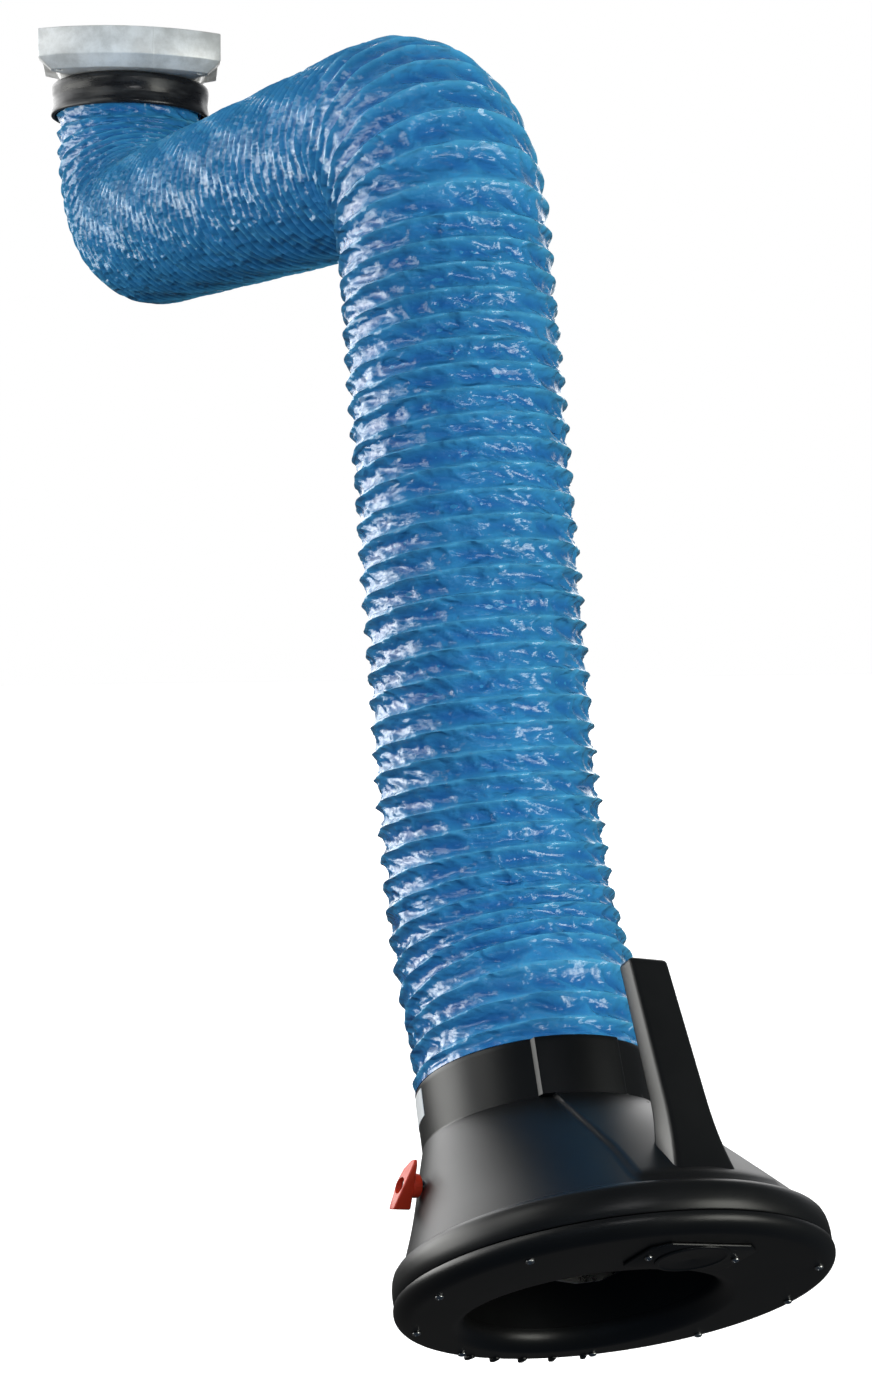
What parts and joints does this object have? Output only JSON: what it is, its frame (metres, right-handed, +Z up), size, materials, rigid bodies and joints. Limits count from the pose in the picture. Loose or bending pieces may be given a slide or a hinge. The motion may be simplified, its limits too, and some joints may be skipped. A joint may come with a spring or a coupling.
{
  "type": "fume extraction arm",
  "caption": "Jointed fume extraction arm: cast swivel flange, ribbed hose over an inner friction-hinged arm with a balance spring, and a bell hood with handle, damper knob and lamp cover.",
  "frame": {"origin": "on the swivel axis, in the flange's top face, where it bolts to the duct or wall bracket", "axes": "+Z up, out of the flange face; +X along the arm as it reaches out; +Y to the left of the arm"},
  "size_m": [1.495, 0.2908, 1.1622],
  "materials": {
    "cast_aluminium": "cast, satin",
    "arm_aluminium": "extruded and cast, satin",
    "zinc_steel": "zinc plated",
    "bearing_nylon": "smooth nylon",
    "cuff_rubber": "satin rubber",
    "hose_pvc": "glossy coated fabric over a wire helix",
    "hood_plastic": "satin moulded",
    "knob_plastic": "satin moulded",
    "friction_lining": "pressed friction lining"
  },
  "bodies": {
    "bracket": {"mounting_flange": "cast_aluminium", "bearing_ring": "bearing_nylon"},
    "swivel": {"swivel_collar": "cast_aluminium", "rubber_cuff": "cuff_rubber", "shoulder_yoke": "arm_aluminium", "yoke_screw_left": "zinc_steel", "yoke_screw_right": "zinc_steel", "shoulder_pin": "zinc_steel", "shoulder_nut": "zinc_steel", "shoulder_friction_disc_left": "friction_lining", "shoulder_friction_disc_right": "friction_lining", "spring_anchor_pin": "zinc_steel", "hose_shoulder": "hose_pvc"},
    "upper_arm": {"shoulder_knuckle": "arm_aluminium", "upper_arm_tube": "arm_aluminium", "elbow_fork": "arm_aluminium", "elbow_pin": "zinc_steel", "elbow_nut": "zinc_steel", "elbow_friction_disc_left": "friction_lining", "elbow_friction_disc_right": "friction_lining", "spring_anchor_clip": "zinc_steel", "balance_spring": "zinc_steel", "hose_upper": "hose_pvc", "hose_elbow": "hose_pvc"},
    "lower_arm": {"elbow_knuckle": "arm_aluminium", "lower_arm_tube": "arm_aluminium", "hood_fork": "arm_aluminium", "pitch_pin": "zinc_steel", "pitch_nut": "zinc_steel", "pitch_washer_left": "friction_lining", "pitch_washer_right": "friction_lining", "hose_lower": "hose_pvc", "hose_hood_upper": "hose_pvc"},
    "hood_joint": {"hood_cross": "zinc_steel", "sway_pin_front": "zinc_steel", "sway_pin_back": "zinc_steel", "hose_hood_lower": "hose_pvc"},
    "hood": {"hood_spider": "arm_aluminium", "hood_shell": "hood_plastic", "hood_face_ring": "hood_plastic", "inner_funnel": "hood_plastic", "neck_clip_cover": "hood_plastic", "hood_handle": "hood_plastic", "lamp_cover_plate": "hood_plastic", "lamp_cover_disc": "hood_plastic", "lamp_screw_left": "zinc_steel", "lamp_screw_right": "zinc_steel", "face_screw_1": "zinc_steel", "face_screw_2": "zinc_steel", "face_screw_3": "zinc_steel", "face_screw_4": "zinc_steel", "face_screw_5": "zinc_steel", "face_screw_6": "zinc_steel", "face_screw_7": "zinc_steel", "face_screw_8": "zinc_steel"},
    "damper": {"damper_blade": "zinc_steel", "damper_shaft": "zinc_steel", "damper_knob": "knob_plastic", "knob_screw": "zinc_steel"}
  },
  "joints": [
    {"name": "swivel", "type": "hinge", "parent": "bracket", "child": "swivel", "pos_m": [0, 0, 0], "axis": [0, 0, 1], "range_deg": [-175, 175]},
    {"name": "shoulder", "type": "hinge", "parent": "swivel", "child": "upper_arm", "pos_m": [0.02, 0, -0.19], "axis": [0, -1, 0], "range_deg": [-60, 20], "deforming": ["hose_shoulder", "balance_spring"]},
    {"name": "elbow", "type": "hinge", "parent": "upper_arm", "child": "lower_arm", "pos_m": [0.912, 0, -0.268], "axis": [0, -1, 0], "range_deg": [-60, 55], "deforming": ["hose_elbow"]},
    {"name": "hood_pitch", "type": "hinge", "parent": "lower_arm", "child": "hood_joint", "pos_m": [1.0964, 0, -0.9313], "axis": [0, -1, 0], "range_deg": [-30, 25], "deforming": ["hose_hood_upper"]},
    {"name": "hood_sway", "type": "hinge", "parent": "hood_joint", "child": "hood", "pos_m": [1.0964, 0, -0.9313], "axis": [0.8434, 0, 0.5373], "range_deg": [-22, 22], "deforming": ["hose_hood_lower"]},
    {"name": "damper_turn", "type": "hinge", "parent": "hood", "child": "damper", "pos_m": [1.16722, -0.01023, -1.03509], "axis": [-0.0675, 0.9874, -0.1434], "range_deg": [0, 90]}
  ]
}
